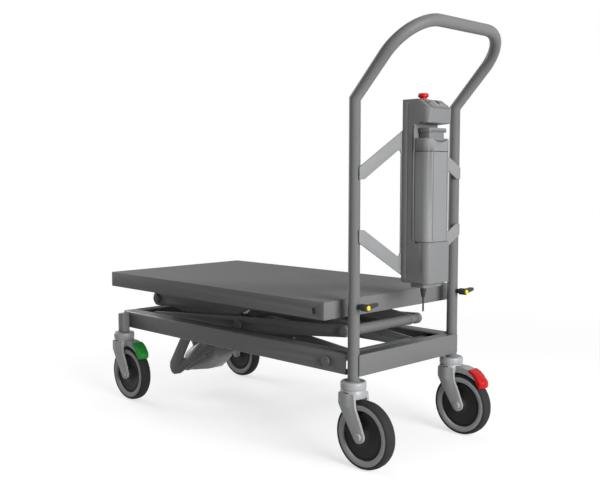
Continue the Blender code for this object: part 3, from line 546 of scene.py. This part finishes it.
def slab(outline, low, high, axis, lining="grooveShadeAndDarkMarks"):
    # a flat outline given thickness along one axis
    deselectAll()
    bpy.ops.mesh.primitive_circle_add(vertices=len(outline), radius=1.0, fill_type="NGON")
    obj = bpy.context.object
    for vertex, (a, b) in zip(obj.data.vertices, outline):
        vertex.co = (a, low, b) if axis == "Y" else (a, b, low)
    bpy.ops.object.mode_set(mode="EDIT")
    bpy.ops.mesh.select_all(action="SELECT")
    thickness = (0, high - low, 0) if axis == "Y" else (0, 0, high - low)
    bpy.ops.mesh.extrude_region_move(TRANSFORM_OT_translate={"value": thickness})
    bpy.ops.mesh.select_all(action="SELECT")
    bpy.ops.mesh.normals_make_consistent(inside=False)
    bpy.ops.object.mode_set(mode="OBJECT")
    obj.data.materials.append(finishes[lining])
    return obj


def block(low, high, lining="grooveShadeAndDarkMarks"):
    # its default lining is near black, painted shade on the faces it cuts away
    outline = [(low[0], low[1]), (high[0], low[1]), (high[0], high[1]), (low[0], high[1])]
    return slab(outline, low[2], high[2], "Z", lining)


# finish and edge rounding of the plates, rails and mouldings that keep the node's shape
plateFinishes = {
    "table": ("tableGrey", 0.0012),
    "table_rail_left": ("tableGrey", 0.0008),
    "table_rail_right": ("tableGrey", 0.0008),
    "frame_rail_left": ("frameGrey", 0.0010),
    "frame_rail_right": ("frameGrey", 0.0010),
    "crossbar_front": ("frameGrey", 0.0008),
    "crossbar_rear": ("frameGrey", 0.0008),
    "front_post_left": ("lightGrey", 0.0020),
    "front_post_right": ("lightGrey", 0.0020),
    "upper_stiffener": ("armGrey", 0.0006),
    "actuator_hanger": ("armGrey", 0.0006),
    "ear_bracket": ("armGrey", 0.0005),
    "control_bracket": ("lightGrey", 0.0008),
    "clamp_lever_left": ("darkPlastic", 0.0010),
    "clamp_lever_right": ("darkPlastic", 0.0010),
    "actuator_motor": ("tubeGrey", 0.0025),
}
for stage in ("lower", "upper"):
    for layer in ("outer", "inner"):
        for hand in ("left", "right"):
            plateFinishes[stage + "_" + layer + "_arm_" + hand] = ("armGrey", 0.0006)
for node, (finish, width) in plateFinishes.items():
    softened(node, finish, width)
print("plates and rails rounded:", len(plateFinishes))

# the same for the round parts
roundFinishes = {
    "pivot_shaft": ("frameGrey", 0.0008),
    "left_knuckle_shaft": ("armGrey", 0.0008),
    "right_knuckle_shaft": ("armGrey", 0.0008),
    "lower_centre_shaft": ("armGrey", 0.0008),
    "upper_centre_shaft": ("armGrey", 0.0008),
    "table_pivot_shaft": ("armGrey", 0.0008),
    "upper_tie_tube": ("armGrey", 0.0006),
    "actuator_body": ("tubeGrey", 0.0010),
    "actuator_rod": ("boltSteel", 0.0005),
    "clamp_button_left": ("signalYellow", 0.0005),
    "clamp_button_right": ("signalYellow", 0.0005),
    "frame_roller_left": ("darkPlastic", 0.0010),
    "frame_roller_right": ("darkPlastic", 0.0010),
    "table_roller_left": ("darkPlastic", 0.0010),
    "table_roller_right": ("darkPlastic", 0.0010),
    "cable_boot": ("darkPlastic", 0.0004),
}
for node, (finish, width) in roundFinishes.items():
    softened(node, finish, width, smooth=45)
print("round parts rounded:", len(roundFinishes))

# nodes that a piece further down stands for, with a finish all the same
hiddenFinishes = {
    "control_box": "boxGrey",
    "battery": "batteryGrey",
    "battery_latch": "boxGrey",
    "keypad_panel": "panelGrey",
    "emergency_stop": "signalRed",
    "pedal_green": "signalGreen",
    "pedal_red": "signalRed",
    "handle": "frameGrey",
}
for where in ("front_left", "front_right", "rear_left", "rear_right"):
    for part, finish in (("head", "castGrey"), ("fork", "castGrey"), ("wheel", "tyreRubber")):
        hiddenFinishes["castor_" + part + "_" + where] = finish
for node, finish in hiddenFinishes.items():
    nodes[node].material_slots[0].material = finishes[finish]

castorSettings = {
    "places": {
        "front_left": (-0.519, -0.2193), "front_right": (-0.519, 0.2193),
        "rear_left": (0.3905, -0.194), "rear_right": (0.3905, 0.194),
    },
    "trail": 0.038,
    "radius": 0.080,
    # (radius, height) along the axle or the turning axis
    "tyre": [
        (0.0716, -0.0148), (0.0720, -0.0156), (0.0732, -0.0160), (0.0752, -0.0153),
        (0.0775, -0.0128), (0.0791, -0.0085), (0.0800, 0.0), (0.0791, 0.0085), (0.0775, 0.0128),
        (0.0752, 0.0153), (0.0732, 0.0160), (0.0720, 0.0156), (0.0716, 0.0148),
        (0.0716, -0.0148),
    ],
    "rim": [
        (0.0583, -0.0100), (0.0583, -0.0132), (0.0590, -0.0148), (0.0606, -0.0155),
        (0.0660, -0.0157), (0.0700, -0.0154), (0.0715, -0.0144), (0.0715, 0.0144),
        (0.0700, 0.0154), (0.0660, 0.0157), (0.0606, 0.0155), (0.0590, 0.0148), (0.0583, 0.0132),
        (0.0583, 0.0100), (0.0583, -0.0100),
    ],
    "disc": [
        (0.0080, -0.0180), (0.0120, -0.0185), (0.0150, -0.0170), (0.0180, -0.0125),
        (0.0220, -0.0105), (0.0400, -0.0085), (0.0430, -0.0098), (0.0520, -0.0098),
        (0.0550, -0.0082), (0.0582, -0.0092), (0.0582, 0.0092), (0.0550, 0.0082),
        (0.0520, 0.0098), (0.0430, 0.0098), (0.0400, 0.0085), (0.0220, 0.0105), (0.0180, 0.0125),
        (0.0150, 0.0170), (0.0120, 0.0185), (0.0080, 0.0180), (0.0080, -0.0180),
    ],
    "head": [
        (0.0285, 0.1832), (0.0300, 0.1836), (0.0305, 0.1850), (0.0305, 0.1965), (0.0298, 0.1990),
        (0.0280, 0.2007), (0.0215, 0.2010), (0.0200, 0.2004), (0.0190, 0.1996), (0.0165, 0.1996),
        (0.0150, 0.2006), (0.0100, 0.2006),
    ],
    "axleCap": [
        (0.0082, 0.0), (0.0082, 0.0006), (0.0079, 0.0008), (0.0070, 0.0008), (0.0068, 0.0003),
        (0.0060, 0.0003), (0.0058, 0.0008), (0.0020, 0.0008),
    ],
    "wheelFinishes": {"tyre": "tyreRubber", "rim": "rimGrey", "disc": "discDark"},
    "wheelSides": 112,
    "capSides": 40,
    "forkRounding": 0.0016,
    "forkOuter": 0.0262,  # the fork's outer face, from the wheel's middle
    "forkSlot": {"x": (-0.004, 0.010), "y": 0.0305, "half": 0.002, "z": (0.1762, 0.1786)},
}


def buildCastorWheels(settings):
    # the first wheel is turned and the others are copies of it
    made = {}
    for where, (x, y) in settings["places"].items():
        node = "castor_wheel_" + where
        for part, finish in settings["wheelFinishes"].items():
            name = part + "_" + where
            if part in made:
                first, firstX, firstY = made[part]
                piece = copyTo(first, name, (x - firstX, y - firstY, 0), node)
            else:
                place = (x + settings["trail"], y, settings["radius"])
                sides = settings["wheelSides"]
                piece = turned(name, settings[part], place, "Y", finish, node, sides)
                made[part] = (piece, x, y)
            if part == "tyre":
                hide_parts(node)


def buildCastorBodies(settings):
    slot = settings["forkSlot"]
    for where, (x, y) in settings["places"].items():
        head = "castor_head_" + where
        fork = "castor_fork_" + where
        cap = turned("castorCap_" + where, settings["head"], (x, y, 0), "Z", "castGrey", head)
        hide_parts(head)
        shell = softened(fork, "castGrey", settings["forkRounding"], segments=3)
        for side in (-1, 1):
            middle = y + side * slot["y"]
            low = (x + slot["x"][0], middle - slot["half"], slot["z"][0])
            high = (x + slot["x"][1], middle + slot["half"], slot["z"][1])
            # the slot's walls take the block's near-black lining: painted shade inside the slot
            cutAway(shell, block(low, high))
        smoothAgain(shell)
        for side, axis, end in ((-1, "-Y", "_a"), (1, "Y", "_b")):
            place = (x + settings["trail"], y + side * settings["forkOuter"], settings["radius"])
            name, profile = "axleCap_" + where + end, settings["axleCap"]
            turned(name, profile, place, axis, "castGrey", fork, settings["capSides"])


buildCastorWheels(castorSettings)
buildCastorBodies(castorSettings)
print("castors built")

pedalSettings = {
    # (reach, height) of the coloured tread, in metres from the castor's turning axis
    "tread": [
        (0.0660, 0.1755), (0.0670, 0.1770), (0.0805, 0.1710), (0.0938, 0.1630), (0.1098, 0.1483),
        (0.1106, 0.1380), (0.1075, 0.1323), (0.1035, 0.1335), (0.0950, 0.1415), (0.0880, 0.1480),
        (0.0860, 0.1570), (0.0760, 0.1640), (0.0665, 0.1695),
    ],
    "halfWidth": 0.018,
    "strips": 8,  # the tread is cut into this many across, so that its tip can be rounded
    "tipStart": 0.080,
    "tipLength": 0.030,
    "tipRounding": 0.010,
    "edgeRounding": 0.0018,
    "armRounding": 0.0012,
    "armCut": ((0.088, -0.03, 0.120), (0.130, 0.03, 0.190)),  # the arm's end, inside the tread
    "grips": [0.076, 0.085, 0.094, 0.103],
    "gripShape": [(0.0016, -0.0010), (0.0016, 0.0004), (0.0011, 0.0008)],
    "gripOffset": 0.0075,
    "gripSides": 16,
    "pedals": {
        "pedal_green": (-0.519, -0.2193, "signalGreen"),
        "pedal_red": (0.3905, 0.194, "signalRed"),
    },
}


def treadHeight(reach, settings):
    # height and slope of the tread's upper side
    line = settings["tread"][1:5]
    for (x0, z0), (x1, z1) in zip(line, line[1:]):
        if x0 <= reach <= x1:
            return z0 + (z1 - z0) * (reach - x0) / (x1 - x0), math.atan2(z1 - z0, x1 - x0)
    return line[-1][1], 0.0


def buildPedals(settings):
    half = settings["halfWidth"]
    strips = settings["strips"]
    cutLow, cutHigh = settings["armCut"]
    for node, (x, y, finish) in settings["pedals"].items():
        arm = softened(node, "castGrey", settings["armRounding"])
        low = (x + cutLow[0], y + cutLow[1], cutLow[2])
        high = (x + cutHigh[0], y + cutHigh[1], cutHigh[2])
        cutAway(arm, block(low, high, "castGrey"))
        outline = [(x + reach, height) for reach, height in settings["tread"]]
        tread = slab(outline, y - half, y + half, "Y", finish)
        pick(tread)
        bpy.ops.object.mode_set(mode="EDIT")
        for cut in range(1, strips):
            bpy.ops.mesh.select_all(action="SELECT")
            across = y - half + 2 * half * cut / strips
            bpy.ops.mesh.bisect(plane_co=(0, across, 0), plane_no=(0, 1, 0))
        bpy.ops.object.mode_set(mode="OBJECT")
        for vertex in tread.data.vertices:
            beyond = vertex.co.x - x - settings["tipStart"]
            if beyond > 0:
                share = min(1.0, beyond / settings["tipLength"])
                toEdge = abs(vertex.co.y - y) / half
                vertex.co.x -= settings["tipRounding"] * share * toEdge ** 3
        applyBevel(tread, settings["edgeRounding"], segments=3, angle=35)
        finishPiece(tread, node + "Tread", finish, node, smooth=50)
        for index, reach in enumerate(settings["grips"]):
            height, slope = treadHeight(reach, settings)
            turn = Matrix.Rotation(-slope, 4, "Y")
            for side, end in ((-1, "a"), (1, "b")):
                name, profile = node + "Grip_%d%s" % (index, end), settings["gripShape"]
                dot = turned(name, profile, (0, 0, 0), "Z", "grooveShadeAndDarkMarks", node, settings["gripSides"])
                spot = (x + reach, y + side * settings["gripOffset"], height)
                dot.data.transform(Matrix.Translation(spot) @ turn)


buildPedals(pedalSettings)
print("pedals built")

handleSettings = {
    "x": 0.3905, "y": 0.194, "radius": 0.014, "bottom": 0.2013, "bend": 0.847,
    "top": (0.547, 1.014), "cornerRadius": 0.104, "cornerSteps": 24, "footSeam": 0.266,
    "collar": [
        (0.0139, -0.0012), (0.01445, -0.0010), (0.0146, -0.0004), (0.0146, 0.0004),
        (0.01445, 0.0010), (0.0139, 0.0012), (0.0139, -0.0012),
    ],
}


def handleLine(settings):
    # up one leg and round its corner, then the same mirrored
    x, y, radius = settings["x"], settings["y"], settings["cornerRadius"]
    bend = Vector((x, 0, settings["bend"]))
    top = Vector((settings["top"][0], 0, settings["top"][1]))
    slant = (top - bend).normalized()
    corner = top - slant * radius
    leg = [(x, y, settings["bottom"]), (x, y, settings["bend"])]
    for step in range(settings["cornerSteps"] + 1):
        angle = math.pi / 2 * step / settings["cornerSteps"]
        spot = corner + slant * (radius * math.sin(angle))
        leg.append((spot.x, y - radius * (1 - math.cos(angle)), spot.z))
    return [(a, -b, c) for a, b, c in leg] + leg[::-1]


def buildHandle(settings):
    tube = tubeAlong(handleLine(settings), settings["radius"], resolution=8)
    finishPiece(tube, "handleTube", "handleGrey", "handle", smooth=60)
    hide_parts("handle")
    for side, hand in ((-1, "left"), (1, "right")):
        place = (settings["x"], side * settings["y"], settings["footSeam"])
        turned("handleCollar_" + hand, settings["collar"], place, "Z", "frameGrey", "handle")


buildHandle(handleSettings)
print("handle built")

controlSettings = {
    "rounding": 0.0024,
    "front": 0.4901,
    "halfWidth": 0.046,
    "sideSeam": [
        (0.4700, 0.8000), (0.4585, 0.7955), (0.4480, 0.7910), (0.4430, 0.7880), (0.4415, 0.7840),
        (0.4405, 0.7700), (0.4405, 0.5300), (0.4412, 0.5240), (0.4440, 0.5195), (0.4500, 0.5165),
        (0.4600, 0.5160),
    ],
    "backSeam": (0.4260, 0.8420, 0.4320),  # x, upper end, lower end
    "frontSeams": (0.028, 0.7990, 0.8290),  # y, lower end, upper end
    "sideGroove": 0.0009,
    "backGroove": 0.0005,
    "frontGroove": 0.0006,
}


def buildControlBox(settings):
    box = softened("control_box", "boxGrey", settings["rounding"], segments=3, angle=35)
    front = settings["front"]
    backX, backTop, backFoot = settings["backSeam"]
    frontY, frontFoot, frontTop = settings["frontSeams"]
    for side in (-1, 1):
        across = side * settings["halfWidth"]
        # the seams are grooves lined near black: painted shade in them
        engrave(box, [(x, across, z) for x, z in settings["sideSeam"]], settings["sideGroove"])
        ends = [(backX, across, backTop), (backX, across, backFoot)]
        engrave(box, ends, settings["backGroove"])
        across = side * frontY
        ends = [(front, across, frontFoot), (front, across, frontTop)]
        engrave(box, ends, settings["frontGroove"])
    smoothAgain(box)


batterySettings = {
    "rounding": 0.0030,
    "latchRounding": 0.0016,
    "seam": 0.731,  # height of the seam that runs round the battery
    "seamStart": 0.002,  # how far behind the battery it starts
    "corner": 0.018,
    "ribs": 0.027,
    "ribEnds": (0.004, 0.002),  # above the foot, below the seam
    "scoop": (0.027, 0.7615, 0.0075),  # half width, height, depth
    "latchLines": (0.7700, 0.7780),
    "latchHalfWidth": 0.031,
    "seamGroove": 0.0009,
    "fineGroove": 0.0006,
    "scoopGroove": 0.0008,
}


def buildBattery(settings):
    battery = softened("battery", "batteryGrey", settings["rounding"], segments=3, angle=35)
    low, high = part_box("battery")
    seam, corner = settings["seam"], settings["corner"]
    # the seam, rib and scoop lines are grooves lined near black: painted shade in them
    around = [(low.x - settings["seamStart"], -high.y, seam)]
    for step in range(9):
        angle = math.pi / 2 * step / 8
        x = high.x - corner + corner * math.sin(angle)
        around.append((x, -high.y + corner - corner * math.cos(angle), seam))
    around += [(x, -y, z) for x, y, z in around[::-1]]
    engrave(battery, around, settings["seamGroove"])
    foot, top = low.z + settings["ribEnds"][0], seam - settings["ribEnds"][1]
    for side in (-1, 1):
        y = side * settings["ribs"]
        engrave(battery, [(high.x, y, foot), (high.x, y, top)], settings["fineGroove"])
    half, height, depth = settings["scoop"]
    scoop = []
    for step in range(13):
        angle = math.pi * (step / 12 - 0.5)
        scoop.append((high.x, half * math.sin(angle), height - depth * math.cos(angle)))
    engrave(battery, scoop, settings["scoopGroove"])
    smoothAgain(battery)
    width = settings["latchRounding"]
    latch = softened("battery_latch", "boxGrey", width, segments=3, angle=35)
    low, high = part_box("battery_latch")
    half = settings["latchHalfWidth"]
    # the latch lines are grooves lined near black: painted shade in them
    for height in settings["latchLines"]:
        ends = [(high.x, -half, height), (high.x, half, height)]
        engrave(latch, ends, settings["fineGroove"])
    smoothAgain(latch)


keypadSettings = {
    "foot": (0.4901, 0.829),  # lower edge of the slope: x, z
    "crest": (0.4551, 0.853),  # upper edge
    "start": 0.006,
    "lift": 0.0003,
    "panelRounding": 0.0005,
    "keyRounding": 0.0004,
    "keyDepth": (-0.0004, 0.0007),
    "keyGap": 0.0001,
    "marks": {  # across, up the slope, width, height, finish
        "keypadWindow": (0.0130, 0.0220, 0.0140, 0.0080, "grooveShadeAndDarkMarks"),
        "keyUp": (-0.0040, 0.0220, 0.0090, 0.0070, "tubeGrey"),
        "keyDown": (-0.0040, 0.0110, 0.0090, 0.0070, "tubeGrey"),
        "keyLamp": (-0.0200, 0.0220, 0.0050, 0.0050, "grooveShadeAndDarkMarks"),
        "keySide": (0.0130, 0.0110, 0.0100, 0.0060, "tubeGrey"),
    },
}


def onPanel(settings, a, b):
    # a point of the sloping keypad, a across and b up the slope, and the way out of it
    foot = Vector((settings["foot"][0], 0, settings["foot"][1]))
    run = (Vector((settings["crest"][0], 0, settings["crest"][1])) - foot).normalized()
    out = Vector((-run.z, 0, run.x)) * -1
    return foot + run * (settings["start"] + b) + Vector((0, a, 0)) + out * settings["lift"], out


def buildKeypad(settings):
    softened("keypad_panel", "panelGrey", settings["panelRounding"], angle=35)
    top, out = onPanel(settings, 0, 0)
    tilt = out.to_track_quat("Z", "Y").to_matrix().to_4x4()
    panel = nodes["keypad_panel"]
    surface = max((panel.matrix_world @ v.co - top).dot(out) for v in panel.data.vertices)
    height = surface + settings["keyGap"]
    low, high = settings["keyDepth"]
    for name, (a, b, wide, tall, finish) in settings["marks"].items():
        spot = onPanel(settings, a, b)[0]
        key = block((-tall / 2, -wide / 2, low), (tall / 2, wide / 2, high), finish)
        applyBevel(key, settings["keyRounding"])
        key.data.transform(Matrix.Translation(spot + out * height) @ tilt)
        finishPiece(key, name, finish, "keypad_panel")


stopSettings = {
    "button": [
        (0.0085, 0.0), (0.0085, 0.0050), (0.0112, 0.0062), (0.0128, 0.0080), (0.0128, 0.0120),
        (0.0118, 0.0146), (0.0095, 0.0158), (0.0060, 0.0154), (0.0020, 0.0151),
    ],
    "collar": [
        (0.0134, 0.0), (0.0156, 0.0), (0.0156, 0.0005), (0.0150, 0.0009), (0.0134, 0.0009),
        (0.0134, 0.0),
    ],
    "sides": 48,
    "markCount": 8,
    "markGroove": 0.0005,
    "markEnds": ((0.0070, 0.0160), (0.0098, 0.0158)),  # (radius, height) of both ends
}


def buildStopButton(settings):
    low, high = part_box("emergency_stop")
    middle = Vector(((low.x + high.x) / 2, 0, low.z))
    node, sides = "emergency_stop", settings["sides"]
    button = turned("stopButton", settings["button"], middle, "Z", "signalRed", node, sides)
    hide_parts(node)
    turn = 2 * math.pi / settings["markCount"]
    # the marks are grooves lined near black: painted shade in them
    for step in range(settings["markCount"]):
        angle = turn * (step + 0.5)
        way = Vector((math.cos(angle), math.sin(angle), 0))
        ends = [way * reach + middle + Vector((0, 0, z)) for reach, z in settings["markEnds"]]
        engrave(button, ends, settings["markGroove"])
    node = "control_box"
    turned("stopCollar", settings["collar"], middle, "Z", "darkPlastic", node, sides)


buildControlBox(controlSettings)
buildBattery(batterySettings)
buildKeypad(keypadSettings)
buildStopButton(stopSettings)
print("control unit built")

underTableSettings = {
    "ribPitch": 0.0165, "ribCount": 11, "x": (-0.500, 0.314), "top": 0.3819,
    "depth": 0.0022, "width": 0.0040, "rounding": 0.0012,
}


def buildUnderTableRibs(settings):
    # the rolled stiffening ribs along the middle of the top sheet, seen from below
    startX, endX = settings["x"]
    half, top = settings["width"] / 2, settings["top"]
    y = -(settings["ribCount"] - 1) / 2 * settings["ribPitch"]
    low, high = (startX, y - half, top - settings["depth"]), (endX, y + half, top)
    rib = block(low, high, "tableGrey")
    applyBevel(rib, settings["rounding"], segments=3)
    finishPiece(rib, "topRib_0", "tableGrey", "table")
    for index in range(1, settings["ribCount"]):
        copyTo(rib, "topRib_%d" % index, (0, index * settings["ribPitch"], 0), "table")


buildUnderTableRibs(underTableSettings)
print("ribs under the table built")

headSettings = {
    "radius": {
        "pivot_shaft": 0.0130,
        "left_knuckle_shaft": 0.0140,
        "right_knuckle_shaft": 0.0140,
        "lower_centre_shaft": 0.0135,
        "upper_centre_shaft": 0.0135,
        "table_pivot_shaft": 0.0118,
    },
    # (share of the radius, height)
    "profile": [
        (0.96, 0.0), (0.96, 0.0004), (0.90, 0.0008), (0.66, 0.0008), (0.62, 0.0003),
        (0.52, 0.0003), (0.48, 0.0010), (0.20, 0.0011),
    ],
    "sides": 48,
}


def buildPivotHeads(settings):
    for node, radius in settings["radius"].items():
        low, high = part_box(node)
        profile = [(radius * share, height) for share, height in settings["profile"]]
        for side, axis, hand in ((-1, "-Y", "_left"), (1, "Y", "_right")):
            place = ((low.x + high.x) / 2, side * high.y, (low.z + high.z) / 2)
            name = node + "Head" + hand
            turned(name, profile, place, axis, "armGrey", node, settings["sides"])


buildPivotHeads(headSettings)
print("pivot heads built")
